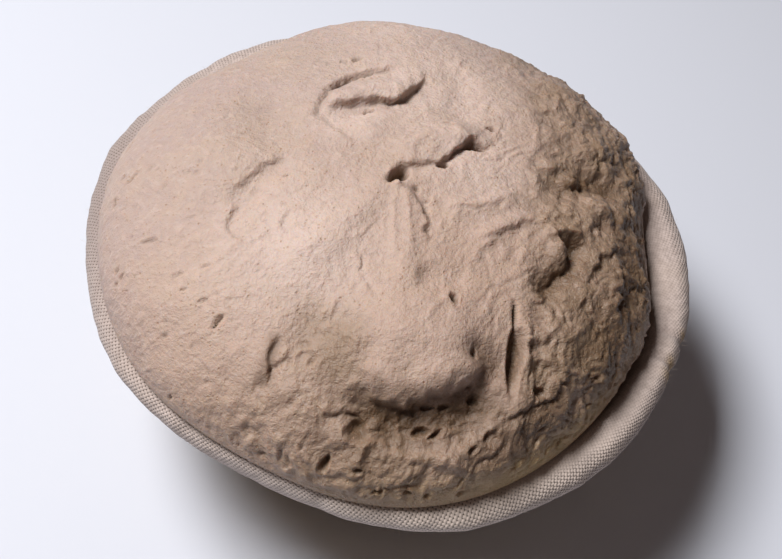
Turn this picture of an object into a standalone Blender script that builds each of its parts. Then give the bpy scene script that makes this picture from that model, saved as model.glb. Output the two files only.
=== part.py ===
# Proofed sourdough dough in its round cane basket with a linen liner.
# Metres, +Z up. The origin is the middle of the basket's underside, which rests on z = 0.
# The side that a baker looks at faces -Y.

import bpy
import bmesh
import numpy as np
from math import cos, pi, radians, sin

MM = 0.001

# Basket: one cane of round section, coiled into a bowl
CANE_THICKNESS = 8.6 * MM
RIM_HEIGHT = 80.0 * MM          # middle of the top coil
RIM_RADIUS = 105.5 * MM         # middle of the top coil
FOOT_RADIUS = 40.0 * MM         # flat part of the base
WALL_SLANT = 0.52               # share of the widening that is an even slant
CORNER_POWER = 12.0             # how soon the base turns up into the wall
COIL_RELIEF = 1.3 * MM          # groove between two coils

# Liner: linen over the inside, the rim and the top of the outside
CLOTH_THICKNESS = 1.4 * MM
GAP = 0.3 * MM                  # air between neighbouring pieces
FLAT = 0.05 * MM                # lower than this counts as the flat base
ROLL_MIDDLE = 108.0 * MM        # crest of the cloth where it rolls over the rim
ROLL_OUTER = 7.0 * MM           # how far the roll stands outside its crest
ROLL_DROP = 8.0 * MM            # how far the roll hangs below the rim's middle
HEM_HEIGHT = 54.0 * MM          # lower edge of the cloth on the outside
HEM_EASE = 0.4 * MM             # the hem's stand from the coils' crests
# Slack of the roll: bearing in degrees, bulge, width in degrees
ROLL_WAVES = (
    (30, 2.2 * MM, 20), (157, -2.2 * MM, 12), (186, 0.8 * MM, 10), (222, 1.6 * MM, 13),
    (256, -2.8 * MM, 14), (290, 2.6 * MM, 14), (342, -2.2 * MM, 16),
)

# Dough: a dome above the rim, filled down to the liner's floor
DOME_LEVEL = 88.0 * MM          # height of the dome's widest line
DOME_RISE = 44.0 * MM
DOME_POWER = 2.2
DOME_REACH = 105.7 * MM         # mean radius, for lengths along the skin
LEAST_REACH = 102.0 * MM
# Where the dough spreads further: bearing in degrees, bulge, width in degrees
REACH_BULGES = (
    (50, 5.0 * MM, 20), (110, 2.5 * MM, 18), (146, -2.0 * MM, 16), (190, 6.5 * MM, 26),
    (230, 10.0 * MM, 28), (280, 11.0 * MM, 30), (352, -4.5 * MM, 30),
)
EDGE_TUCK = 1.6 * MM            # how far the dough rolls in under its widest line
ROLL_BARE = 2.6 * MM            # outer part of the roll that the dough leaves bare
DOUGH_GAP = 0.55 * MM           # clear of the liner's flat facets too
STEP_IN = 0.4 * MM              # least step between the rings of the dough's underside
FADE = 9.0 * MM                 # the relief dies out over this much of the skin's edge
DOME_RINGS = 28
RING_STEP = 6                   # more points on each ring of the dome than on the one inside it
LUMP_COUNT = 420
LUMP_SIZE = (5.5 * MM, 10.0 * MM)
LUMP_HEIGHT = 3.0 * MM
LUMP_SEED = 11
CRAGS_RIGHT = (34 * MM, 52 * MM)        # the craggy skin begins between these, to the right
CRAGS_FRONT = (78 * MM, 92 * MM)        # and between these, to the front

SEGMENTS = 48                   # facets round the basket and the liner
SIDE_PARTS = (0.0, 0.25, 0.5, 0.65, 0.78, 0.9, 1.0)     # rings of the smooth walls, rim to foot
FLOOR_PART = 0.4                # one more ring on the flat floor, foot to middle
RIM_TURNS = (50, 90, 135, 180)          # degrees over the top coil, from the inside
HEM_PARTS = (0.0, 0.4, 0.8)             # hem to the roll
ROLL_BELOW = (-60, -30)                 # degrees round the roll, under its widest line
ROLL_ABOVE = (0, 30, 60)                # and up towards its crest
INNER_TURNS = (90, 112, 134)            # degrees round the top coil on the inside

# Folds, tears and hollows of the dough's skin. Each is a line on the dome, in millimetres
# along the skin from its top: x to the right, y away from the front. Then width and height.
FOLDS = {
    "curled_fold_groove": (((-22, 44), (-31, 40), (-38, 34), (-41, 24), (-39, 13), (-30, 5)), 4.4, -4.0),
    "curled_fold_tongue": (((-36, 22), (-30, 27), (-22, 32), (-15, 33)), 4.8, 2.6),
    "curled_fold_crater": (((-33, 13), (-24, 18), (-14, 21), (-7, 31)), 5.0, -5.5),
    "tear_lip": (((-8, -4), (0, 4), (10, 9), (14, 17)), 5.0, 2.6),
    "tear": (((-5, -10), (2, -5), (9, 0), (15, 8), (21, 12)), 4.4, -6.0),
    "tear_hole": (((-5, -10), (-3, -9)), 4.6, -3.0),
    "stretched_ridge": (((-8, -17), (-15, -31), (-26, -46)), 7.0, 2.6),
    "stretched_strand": (((0, -17), (2, -30), (4, -44)), 4.5, 1.6),
    "strand_valley": (((7, -20), (9, -32)), 4.0, -2.4),
    "side_swelling": (((-66, -10), (-68, -16)), 14.0, 3.0),
    "side_hollow": (((-47, -12), (-52, -24), (-54, -34)), 6.5, -3.2),
    "side_crease": (((-54, -35), (-54, -43), (-46, -46), (-41, -49)), 4.4, -1.8),
    "crescent": (((-11, -44), (-9, -49), (-3, -57)), 4.2, -1.8),
    "shallow_dent": (((11, -46), (20, -45)), 5.4, -2.2),
    "pillow": (((7, -66), (20, -67)), 15.0, 6.0),
    "pillow_hollow": (((3, -90), (15, -89), (24, -84), (37, -80)), 5.2, -6.0),
    "second_hollow": (((13, -96), (24, -95), (33, -90)), 4.4, -3.2),
    "long_tear": (((43, -48), (43, -58), (45, -65), (46, -71)), 4.4, -5.0),
    "deep_pit": (((31, -67), (40, -69)), 4.5, -4.0),
    "front_groove": (((-28, -78), (-28, -90)), 4.4, -3.0),
    "front_pit": (((-6, -109), (-6, -114)), 4.5, -2.6),
    "side_recess": (((58, 8), (64, 14), (67, 24)), 5.0, -4.0),
    "long_recess": (((64, -15), (63, -28), (55, -37)), 5.2, -5.5),
    "ledge": (((56, -16), (66, -11)), 4.0, 2.4),
    "lump": (((75, 8), (79, 10)), 6.0, 3.0),
    "flank_dent": (((103, 12), (105, 18)), 16.0, -4.0),
    "shoulder": (((80, 62), (84, 66)), 17.0, 2.6),
}


def clear_scene():
    for item in list(bpy.data.objects):
        bpy.data.objects.remove(item, do_unlink=True)


def principled(name, color, roughness):
    material = bpy.data.materials.new(name)
    material.use_nodes = True
    shader = material.node_tree.nodes["Principled BSDF"]
    shader.inputs["Base Color"].default_value = (*color, 1.0)
    shader.inputs["Roughness"].default_value = roughness
    shader.inputs["Metallic"].default_value = 0.0
    return material


def finish(name, mesh_builder, material, crease_degrees):
    """Turn a bmesh into a named object with one material and smooth round faces."""
    bmesh.ops.triangulate(mesh_builder, faces=mesh_builder.faces)
    bmesh.ops.recalc_face_normals(mesh_builder, faces=mesh_builder.faces)
    mesh = bpy.data.meshes.new(name)
    mesh_builder.to_mesh(mesh)
    mesh_builder.free()
    mesh.materials.append(material)
    mesh.shade_smooth()
    mesh.set_sharp_from_angle(angle=radians(crease_degrees))
    item = bpy.data.objects.new(name, mesh)
    bpy.context.collection.objects.link(item)
    return item


def add_ring(mesh_builder, points):
    return [mesh_builder.verts.new(point) for point in points]


def bridge(mesh_builder, first, second):
    """Join two rings that start at the same bearing, whatever their counts; one may be a point."""
    i = j = 0
    n, m = len(first), len(second)
    while i < (n if n > 1 else 0) or j < (m if m > 1 else 0):
        step_first = n > 1 and (m == 1 or j >= m or (i < n and (i + 1) / n <= (j + 1) / m))
        a, b = first[i % n], second[j % m]
        if step_first:
            mesh_builder.faces.new((a, first[(i + 1) % n], b))
            i += 1
        else:
            mesh_builder.faces.new((a, second[(j + 1) % m], b))
            j += 1


def bearings(count):
    return np.arange(count) * 2 * pi / count


def around(radius, height, angle):
    """Points at a radius and height for each bearing."""
    radius = np.broadcast_to(radius, angle.shape)
    height = np.broadcast_to(height, angle.shape)
    return np.stack([radius * np.cos(angle), radius * np.sin(angle), height], axis=-1)


def bulges(angle, rows):
    """Sum of soft bulges at their bearings, each h exp(-(away / width)^2)."""
    degrees = np.degrees(angle)
    total = np.zeros_like(degrees)
    for bearing, bulge, width in rows:
        away = (degrees - bearing + 180) % 360 - 180
        total += bulge * np.exp(-((away / width) ** 2))
    return total


# The bowl, as the middle line of the cane wall

def bowl_line(samples=240):
    """The wall, rim to foot: foot + span (w h + (1 - w) (1 - (1 - h)^p)), then the level base."""
    flat = CANE_THICKNESS / 2
    rise = np.linspace(1, 0, samples) ** 2
    widening = WALL_SLANT * rise + (1 - WALL_SLANT) * (1 - (1 - rise) ** CORNER_POWER)
    radius = FOOT_RADIUS + (RIM_RADIUS - FOOT_RADIUS) * widening
    height = flat + (RIM_HEIGHT - flat) * rise
    base = np.linspace(FOOT_RADIUS, 0, samples // 4)[1:]
    return np.append(radius, base), np.append(height, np.full_like(base, flat))


def offset_line(radius, height, distance):
    """Shift a line sideways along its normal; positive is outward on the way down."""
    along_r = np.gradient(radius)
    along_z = np.gradient(height)
    length = np.hypot(along_r, along_z)
    return radius - along_z / length * distance, height + along_r / length * distance


def line_length(radius, height):
    """Length along a line at each of its points."""
    return np.concatenate([[0], np.cumsum(np.hypot(np.diff(radius), np.diff(height)))])


def sample_line(radius, height, length):
    """The point of a line at a length from its start."""
    along = line_length(radius, height)
    return np.interp(length, along, radius), np.interp(length, along, height)


def wall_rows(distance):
    """Rows of (radius, height) at a distance from the middle of the wall, rim to base."""
    radius, height = bowl_line()
    along = line_length(radius, height)
    side = along[np.argmax(height <= height[-1])]
    places = [side * part for part in SIDE_PARTS] + [side + (along[-1] - side) * FLOOR_PART]
    shifted = offset_line(radius, height, distance)
    return list(zip(*(np.interp(places, along, line) for line in shifted)))


def turned(name, profile, material, crease_degrees):
    """A closed solid from a profile of (radius, height) rows, first and last on the axis."""
    builder = bmesh.new()
    angle = bearings(SEGMENTS)
    rings = []
    for radius, height in profile:
        if np.max(radius) == 0:
            rings.append(add_ring(builder, [(0.0, 0.0, float(height))]))
        else:
            rings.append(add_ring(builder, around(radius, height, angle)))
    for upper, lower in zip(rings, rings[1:]):
        bridge(builder, upper, lower)
    return finish(name, builder, material, crease_degrees)


def coil_rows():
    """The outside of the wall: a row on each coil and one in each groove between coils."""
    half = CANE_THICKNESS / 2
    crest = offset_line(*bowl_line(), half)
    groove = offset_line(*bowl_line(), half - COIL_RELIEF)
    side = line_length(*crest)[np.argmax(crest[1] <= FLAT)]
    groove_side = side * line_length(*groove)[-1] / line_length(*crest)[-1]
    coils = round(side / CANE_THICKNESS)
    rows = []
    for coil in range(coils):
        rows.append(sample_line(*crest, coil / coils * side))
        rows.append(sample_line(*groove, (coil + 0.5) / coils * groove_side))
    rows.append((sample_line(*crest, side)[0], 0.0))
    return rows


def make_basket():
    half = CANE_THICKNESS / 2
    profile = [(0.0, CANE_THICKNESS)]
    profile += wall_rows(-half)[::-1]
    for turn in RIM_TURNS:
        profile.append((RIM_RADIUS - half * cos(radians(turn)), RIM_HEIGHT + half * sin(radians(turn))))
    profile += coil_rows()
    profile.append((0.0, 0.0))
    cane = principled("cane", (0.55, 0.40, 0.24), 0.6)
    return turned("basket", profile, cane, 25)


# The liner. Distance 0 is the face that shows and CLOTH_THICKNESS the face on the basket.

def cloth_face(distance):
    """How far a face of the cloth lies from the middle of the cane."""
    return CANE_THICKNESS / 2 + GAP + CLOTH_THICKNESS - distance


def cloth_outside(distance, angle):
    """Rows of (radius, height) from the hem up the wall and round the roll, short of its crest."""
    face = cloth_face(distance)
    width = ROLL_OUTER - distance + bulges(angle, ROLL_WAVES)
    wall = offset_line(*bowl_line(), face + HEM_EASE)
    rows = []
    for part in HEM_PARTS:
        height = HEM_HEIGHT + (RIM_HEIGHT - ROLL_DROP - HEM_HEIGHT) * part
        rows.append((np.interp(-height, -wall[1], wall[0]), height))
    for turn in ROLL_BELOW:
        height = RIM_HEIGHT + (ROLL_DROP - distance) * sin(radians(turn))
        on_wall = np.interp(-height, -wall[1], wall[0])
        rows.append((np.maximum(ROLL_MIDDLE + width * cos(radians(turn)), on_wall), height))
    for turn in ROLL_ABOVE:
        rows.append((ROLL_MIDDLE + width * cos(radians(turn)), RIM_HEIGHT + face * sin(radians(turn))))
    return rows


def cloth_inside(distance):
    """Rows of (radius, height) from the crest over the top coil and down the wall to the floor."""
    face = cloth_face(distance)
    rows = [(ROLL_MIDDLE, RIM_HEIGHT + face)]
    for turn in INNER_TURNS:
        rows.append((RIM_RADIUS + face * cos(radians(turn)), RIM_HEIGHT + face * sin(radians(turn))))
    rows += wall_rows(-face)
    rows.append((0.0, CANE_THICKNESS / 2 + face))
    return rows


def make_liner():
    angle = bearings(SEGMENTS)
    shown = cloth_outside(0.0, angle) + cloth_inside(0.0)
    hidden = cloth_outside(CLOTH_THICKNESS, angle) + cloth_inside(CLOTH_THICKNESS)
    linen = principled("linen", (0.43, 0.33, 0.26), 0.9)
    return turned("liner", shown[::-1] + hidden, linen, 50)


# The dough

def reach(angle):
    return LEAST_REACH + bulges(angle, REACH_BULGES)


def skin_curve():
    """Angles of the dome's curve and the length along the skin from the top to each."""
    turn = np.linspace(0, pi / 2, 600)
    radius = DOME_REACH * np.sin(turn) ** (2 / DOME_POWER)
    height = DOME_RISE * np.cos(turn) ** (2 / DOME_POWER)
    return turn, line_length(radius, height)


def dome(x, y):
    """The smooth dome, by place along its skin."""
    turns, lengths = skin_curve()
    angle = np.arctan2(y, x)
    turn = np.interp(np.hypot(x, y), lengths, turns)
    radius = reach(angle) * np.sin(turn) ** (2 / DOME_POWER)
    height = DOME_LEVEL + DOME_RISE * np.cos(turn) ** (2 / DOME_POWER)
    return np.stack([radius * np.cos(angle), radius * np.sin(angle), height], axis=-1)


def line_distance(x, y, points):
    """Distance from each place to the nearest part of a line of points."""
    nearest = np.full_like(x, np.inf)
    for (x0, y0), (x1, y1) in zip(points, points[1:]):
        along = np.array([x1 - x0, y1 - y0]) * MM
        share = ((x - x0 * MM) * along[0] + (y - y0 * MM) * along[1]) / (along @ along)
        share = np.clip(share, 0, 1)
        away = np.hypot(x - x0 * MM - share * along[0], y - y0 * MM - share * along[1])
        nearest = np.minimum(nearest, away)
    return nearest


def smooth_step(low, high, value):
    share = np.clip((value - low) / (high - low), 0, 1)
    return share * share * (3 - 2 * share)


def roughness_at(x, y):
    """1 on the craggy right and front of the skin, 0 on its smooth part."""
    right = smooth_step(*CRAGS_RIGHT, x)
    front = smooth_step(*CRAGS_FRONT, 0.1 * x - y)
    return np.maximum(right, front)


def relief(x, y):
    """Height of the skin over the smooth dome."""
    total = np.zeros_like(x)
    for points, width, height in FOLDS.values():
        away = line_distance(x, y, points)
        total += height * MM * np.exp(-((away / (width * MM)) ** 2))
    draw = np.random.default_rng(LUMP_SEED)
    skin = skin_curve()[1][-1]
    for _ in range(LUMP_COUNT):
        place = draw.uniform(-skin, skin, 2)
        size = draw.uniform(*LUMP_SIZE)
        height = draw.uniform(-LUMP_HEIGHT, LUMP_HEIGHT)
        away = np.hypot(x - place[0], y - place[1])
        total += height * np.exp(-((away / size) ** 2)) * roughness_at(x, y)
    return total * (1 - smooth_step(skin - FADE, skin, np.hypot(x, y)))


def dough_skin(x, y):
    """The dome moved along its normal by the relief."""
    step = 0.2 * MM
    place = dome(x, y)
    across = dome(x + step, y) - dome(x - step, y)
    away = dome(x, y + step) - dome(x, y - step)
    normal = np.cross(across, away)
    normal /= np.linalg.norm(normal, axis=-1, keepdims=True)
    return place + normal * relief(x, y)[..., None]


def dough_edge(angle):
    """Where the dough meets the roll: radius and height, with the gap."""
    width = ROLL_OUTER + bulges(angle, ROLL_WAVES)
    edge = np.minimum(reach(angle) - EDGE_TUCK, ROLL_MIDDLE + width - ROLL_BARE)
    share = np.clip((edge - ROLL_MIDDLE) / width, 0, 1)
    return edge, RIM_HEIGHT + cloth_face(0.0) * np.sqrt(1 - share ** 2) + DOUGH_GAP


def make_dough():
    builder = bmesh.new()
    skin = skin_curve()[1][-1]
    rings = [add_ring(builder, [tuple(dough_skin(np.zeros(1), np.zeros(1))[0])])]
    for ring in range(1, DOME_RINGS + 1):
        angle = bearings(RING_STEP * ring)
        length = skin * ring / DOME_RINGS
        rings.append(add_ring(builder, dough_skin(length * np.cos(angle), length * np.sin(angle))))
    angle = bearings(2 * SEGMENTS)
    edge, contact = dough_edge(angle)
    rings.append(add_ring(builder, around((2 * reach(angle) + edge) / 3, (DOME_LEVEL + contact) / 2, angle)))
    rings.append(add_ring(builder, around(edge, contact, angle)))
    angle = bearings(SEGMENTS)
    edge, contact = dough_edge(angle)
    inside = cloth_inside(0.0)
    for order, (radius, height) in enumerate(inside[:-1], start=1):
        inset = np.minimum(edge - order * STEP_IN, radius - DOUGH_GAP)
        rings.append(add_ring(builder, around(inset, height + DOUGH_GAP, angle)))
    rings.append(add_ring(builder, [(0.0, 0.0, inside[-1][1] + DOUGH_GAP)]))
    for upper, lower in zip(rings, rings[1:]):
        bridge(builder, upper, lower)
    crumb = principled("dough", (0.62, 0.50, 0.38), 0.55)
    return finish("dough", builder, crumb, 75)


clear_scene()
make_basket()
make_liner()
make_dough()
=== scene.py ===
# Proofed sourdough dough in its linen-lined cane basket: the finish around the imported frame.
# Metres, +Z up, the basket's underside on z = 0, the side that a baker looks at towards -Y.
from math import cos, pi, radians, sin

import bpy
import numpy as np
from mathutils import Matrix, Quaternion, Vector


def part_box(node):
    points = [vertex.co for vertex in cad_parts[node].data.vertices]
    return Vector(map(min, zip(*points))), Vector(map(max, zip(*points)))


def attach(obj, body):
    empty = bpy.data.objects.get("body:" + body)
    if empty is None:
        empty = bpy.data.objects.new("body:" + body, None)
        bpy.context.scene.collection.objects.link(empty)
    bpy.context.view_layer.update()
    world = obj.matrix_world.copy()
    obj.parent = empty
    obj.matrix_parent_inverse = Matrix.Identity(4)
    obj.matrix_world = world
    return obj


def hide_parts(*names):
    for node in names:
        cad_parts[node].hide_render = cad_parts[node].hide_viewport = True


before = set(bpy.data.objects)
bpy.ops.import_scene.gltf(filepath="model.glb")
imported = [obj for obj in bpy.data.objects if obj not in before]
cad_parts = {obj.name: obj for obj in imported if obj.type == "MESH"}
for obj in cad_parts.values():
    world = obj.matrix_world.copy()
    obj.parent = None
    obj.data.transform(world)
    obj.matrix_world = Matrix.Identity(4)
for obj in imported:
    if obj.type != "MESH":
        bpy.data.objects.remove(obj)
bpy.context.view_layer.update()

mm = 0.001


# Shader wiring

class Wire:
    # One output socket. Arithmetic on it adds Math nodes, so 1 - mask works.
    def __init__(self, tree, socket=None):
        self.tree = tree
        self.socket = socket

    def make(self, kind, settings=None, values=None, output=0):
        # Adds a node: settings first, then the values or links of its sockets.
        node = self.tree.nodes.new(kind)
        for name, value in (settings or {}).items():
            setattr(node, name, value)
        for name, value in (values or {}).items():
            if isinstance(value, Wire):
                self.tree.links.new(value.socket, node.inputs[name])
            else:
                node.inputs[name].default_value = value
        return Wire(self.tree, node.outputs[output])

    def other(self, order):
        # Another output of the same node.
        return Wire(self.tree, self.socket.node.outputs[order])

    def calc(self, operation, *terms):
        return self.make("ShaderNodeMath", {"operation": operation}, dict(enumerate(terms)))

    def __add__(self, other):
        return self.calc("ADD", self, other)

    def __radd__(self, other):
        return self.calc("ADD", other, self)

    def __sub__(self, other):
        return self.calc("SUBTRACT", self, other)

    def __rsub__(self, other):
        return self.calc("SUBTRACT", other, self)

    def __mul__(self, other):
        return self.calc("MULTIPLY", self, other)

    def __rmul__(self, other):
        return self.calc("MULTIPLY", other, self)

    def __pow__(self, other):
        return self.calc("POWER", self, other)

    def step(self, low, high):
        # Smooth 0 to 1 between low and high.
        return self.make("ShaderNodeMapRange", {"interpolation_type": "SMOOTHSTEP"},
                         {"Value": self, "From Min": low, "From Max": high})

    def blend(self, first, second):
        # Colour between first and second by this value.
        return self.make("ShaderNodeMix", {"data_type": "RGBA"},
                         {0: self, 6: asColor(first), 7: asColor(second)}, output=2)

    def attribute(self, name):
        return self.make("ShaderNodeAttribute", {"attribute_name": name}, output=2)

    def noise(self, place, scale, detail=3.0, rough=0.5, warp=0.0):
        return self.make("ShaderNodeTexNoise", None, {
            "Vector": place, "Scale": scale, "Detail": detail, "Roughness": rough, "Distortion": warp})


def asColor(value):
    return value if isinstance(value, Wire) else (*value, 1.0)


def newMaterial(name):
    # A material's tree with its Principled shader, and a Wire to start expressions from.
    material = bpy.data.materials.new(name)
    material.use_nodes = True
    tree = material.node_tree
    return material, tree.nodes["Principled BSDF"], Wire(tree)


def feed(tree, shader, **sockets):
    # Sets or links the shader's sockets; an underscore in a name stands for a space.
    for name, value in sockets.items():
        target = shader.inputs[name.replace("_", " ")]
        if isinstance(value, Wire):
            tree.links.new(value.socket, target)
        else:
            target.default_value = value


# Number helpers

def smoothStep(low, high, value):
    share = np.clip((value - low) / (high - low), 0.0, 1.0)
    return share * share * (3.0 - 2.0 * share)


def gradientNoise(x, y, cell, seed):
    # A seeded direction g at each corner of a square lattice, 1.5 g.d at the offset d from it,
    # eased by 6t^5 - 15t^4 + 10t^3 between the four corners; about -1 to 1.
    size = 64
    turn = np.random.default_rng(seed).uniform(0.0, 2.0 * pi, (size, size))
    gx, gy = np.cos(turn), np.sin(turn)
    px, py = x / cell, y / cell
    ix, iy = np.floor(px).astype(int), np.floor(py).astype(int)
    fx, fy = px - ix, py - iy
    ex = fx ** 3 * (fx * (fx * 6 - 15) + 10)
    ey = fy ** 3 * (fy * (fy * 6 - 15) + 10)

    def corner(dx, dy):
        a, b = (ix + dx) % size, (iy + dy) % size
        return gx[a, b] * (fx - dx) + gy[a, b] * (fy - dy)

    low = corner(0, 0) * (1 - ex) + corner(1, 0) * ex
    high = corner(0, 1) * (1 - ex) + corner(1, 1) * ex
    return (low * (1 - ey) + high * ey) * 1.5


def smoothLine(points, step):
    # Catmull-Rom curve through the points, with a point about every step.
    points = np.array(points, float)
    padded = np.vstack([2 * points[0] - points[1], points, 2 * points[-1] - points[-2]])
    pieces = []
    for p0, p1, p2, p3 in zip(padded, padded[1:], padded[2:], padded[3:]):
        count = max(1, int(np.hypot(*(p2 - p1)) / step))
        t = (np.arange(count) / count)[:, None]
        pieces.append(0.5 * (2 * p1 + (p2 - p0) * t + (2 * p0 - 5 * p1 + 4 * p2 - p3) * t ** 2
                             + (3 * p1 - p0 - 3 * p2 + p3) * t ** 3))
    return np.vstack(pieces + [points[-1:]])


def meshObject(name, places, faces, material):
    # A smooth mesh object from an array of places and a list of faces.
    mesh = bpy.data.meshes.new(name)
    mesh.from_pydata(places.tolist(), [], faces)
    mesh.shade_smooth()
    mesh.materials.append(material)
    item = bpy.data.objects.new(name, mesh)
    bpy.context.collection.objects.link(item)
    return item


def cornerPoints(item):
    # The number of the point that each face corner stands on.
    corners = np.zeros(len(item.data.loops), np.int32)
    item.data.loops.foreach_get("vertex_index", corners)
    return corners


def alongMap(item, uv):
    # The UV map along, from one row for each face corner.
    layer = item.data.uv_layers.new(name="along")
    layer.data.foreach_set("uv", uv.astype(np.float32).ravel())


def pointValue(item, name, values):
    attribute = item.data.attributes.new(name, "FLOAT", "POINT")
    attribute.data.foreach_set("value", values.astype(np.float32))


def ringPlaces(radius, angle, height):
    # Points at a radius, a bearing and a height.
    return np.stack([radius * np.cos(angle), radius * np.sin(angle), height], axis=-1)


def unitLength(vectors):
    return vectors / np.linalg.norm(vectors, axis=-1, keepdims=True)


def bandQuads(index):
    # Quads between the rows of a grid of point numbers whose columns close round.
    ahead = np.roll(index, -1, axis=-1)
    corners = [index[..., :-1, :], ahead[..., :-1, :], ahead[..., 1:, :], index[..., 1:, :]]
    return np.stack(corners, axis=-1).reshape(-1, 4)


def tubeGrid(path, across, thick, sides):
    # Rings path + thick (side cos(a) + top sin(a)); side is square to the run and to across.
    ahead = unitLength(np.gradient(path, axis=-2))
    side = unitLength(np.cross(ahead, across))
    top = np.cross(side, ahead)
    spin = np.arange(sides) * 2 * pi / sides
    ring = np.cos(spin)[:, None] * side[..., None, :] + np.sin(spin)[:, None] * top[..., None, :]
    return path[..., None, :] + thick[..., None, None] * ring


def turnAway(angle, bearing):
    # Degrees from a bearing, -180 to 180.
    return (np.degrees(angle) - bearing + 180.0) % 360.0 - 180.0


# The bowl that carries everything, read from the frame

bowl = {
    "cane": 8.6 * mm,
    "foot": 40.0 * mm,          # flat part of the base
    "slant": 0.52,              # share of the widening that is an even slant
    "cornerPower": 12.0,        # how soon the base turns up into the wall
}
bowl["half"] = bowl["cane"] / 2
bowl["rimHeight"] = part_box("basket")[1].z - bowl["half"]
bowl["rimRadius"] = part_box("basket")[1].x - bowl["half"]


def bulges(angle, rows):
    # Sum of soft bulges at their bearings, each h exp(-(away / width)^2), h in millimetres.
    total = np.zeros_like(angle)
    for bearing, bulge, width in rows:
        total += bulge * mm * np.exp(-((turnAway(angle, bearing) / width) ** 2))
    return total


def bowlLine(samples=600):
    # Rim to foot, h from 1 to 0: r = foot + span (w h + (1 - w) (1 - (1 - h)^p)), then level.
    rise = np.linspace(1.0, 0.0, samples) ** 2
    widening = bowl["slant"] * rise + (1 - bowl["slant"]) * (1 - (1 - rise) ** bowl["cornerPower"])
    radius = bowl["foot"] + (bowl["rimRadius"] - bowl["foot"]) * widening
    height = bowl["half"] + (bowl["rimHeight"] - bowl["half"]) * rise
    base = np.linspace(bowl["foot"], 0.0, samples // 4)[1:]
    return np.append(radius, base), np.append(height, np.full_like(base, bowl["half"]))


def offsetLine(radius, height, distance):
    # The line shifted along its normal; positive is outward on the way down.
    alongR, alongZ = np.gradient(radius), np.gradient(height)
    length = np.hypot(alongR, alongZ)
    return radius - alongZ / length * distance, height + alongR / length * distance


def lineLength(radius, height):
    return np.concatenate([[0.0], np.cumsum(np.hypot(np.diff(radius), np.diff(height)))])


# Linen liner

liner = {
    "thickness": 1.4 * mm,
    "gap": 0.3 * mm,
    "rollMiddle": 108.0 * mm,   # crest of the cloth over the rim
    "rollOuter": 7.0 * mm,      # how far the roll stands outside its crest
    "rollDrop": 8.0 * mm,       # how far the roll hangs below the rim's middle
    "hemHeight": 54.0 * mm,
    "hemEase": 0.4 * mm,
    "innerTurn": 150.0,         # degrees round the top coil before the cloth lies on the wall
    # slack of the roll: bearing in degrees, bulge, width in degrees
    "waves": ((30, 2.2, 20), (131, 2.1, 15), (173, 2.0, 8), (186, 0.7, 9), (222, 1.6, 13),
              (256, -2.8, 14), (290, 2.6, 14), (342, -2.2, 16)),
    "around": 720,
    # fine and plain rows of the wall, the roll's lower and upper quarter, the coil, the inside
    "rows": ((16, 3), (14, 4), (20, 4), (12, 4), (22, 8)),
    "looseRows": (0, 6, 50, 64),    # rows where the slack starts, is full, eases and ends
    # cell in millimetres, drift in x and y from row to row, height in millimetres, seed
    "wrinkles": ((11.0, 0.3, 0.2, 0.55, 21), (4.5, -0.5, 0.4, 0.22, 22)),
    "wrinkleLift": 0.5,         # share of a wrinkle that goes into the height
    "thread": 1.2 * mm,
    "slant": 0.5,               # rise of the threads against the rim, a share that keeps whole turns
    # bearing in degrees, depth in millimetres, width in degrees
    "pinches": ((-6.5, 1.5, 1.3), (-13.0, 1.2, 1.1), (-92.0, 1.1, 1.4), (-118.0, 0.5, 1.6)),
    "pinchIn": 0.7,             # share of a pinch that goes inwards
    "flourTo": 112.5 * mm,      # inside this radius flour fills the weave
    "flourEase": 5.0 * mm,
    # bearing in degrees, strength, width in degrees
    # painted light: the roll made brighter at the lower right
    "paintedLightOnRoll": ((290, 1.0, 36),),
    # painted shade: the roll made darker on the left
    "paintedShadeOnRoll": ((186, 0.85, 34),),
    # bearing in degrees, radius and size in millimetres
    "stains": ((-5.0, 113.5, 1.8), (-15.5, 113.0, 3.0), (-12.5, 111.5, 2.0)),
    "stainFrom": 70.0 * mm,     # height over which the stains show
}
liner["face"] = bowl["half"] + liner["gap"] + liner["thickness"]


def linerFace(distance, angle, fine=True):
    # Rows of (radius, height), hem to floor: up the wall, round a hanging roll whose lower and
    # upper quarters are ellipses about its crest, about the top coil and down the wall inside.
    face = liner["face"] - distance
    rim, middle = bowl["rimHeight"], liner["rollMiddle"]
    width = liner["rollOuter"] - distance + bulges(angle, liner["waves"])
    wall = offsetLine(*bowlLine(), face + liner["hemEase"])
    counts = [pair[0] if fine else pair[1] for pair in liner["rows"]]
    wallRows, lowRows, highRows, coilRows, insideRows = counts
    level = np.ones_like(angle)
    rows = []
    for height in np.linspace(liner["hemHeight"], rim - liner["rollDrop"], wallRows):
        rows.append((np.interp(-height, -wall[1], wall[0]) * level, height * level))
    for turn in np.radians(np.linspace(-90.0, 0.0, lowRows)[1:-1]):
        height = rim + (liner["rollDrop"] - distance) * sin(turn)
        onWall = np.interp(-height, -wall[1], wall[0])
        rows.append((np.maximum(middle + width * cos(turn), onWall), height * level))
    for turn in np.radians(np.linspace(0.0, 90.0, highRows)):
        rows.append((middle + width * cos(turn), (rim + face * sin(turn)) * level))
    for turn in np.radians(np.linspace(90.0, liner["innerTurn"], coilRows)):
        rows.append(((bowl["rimRadius"] + face * cos(turn)) * level, (rim + face * sin(turn)) * level))
    inside = offsetLine(*bowlLine(), -face)
    length = lineLength(*bowlLine())
    for place in np.linspace(0.0, length[-1], insideRows)[:-1]:
        rows.append(tuple(np.interp(place, length, line) * level for line in inside))
    rows.append((0.0 * level, (bowl["half"] + face) * level))
    return rows


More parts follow.
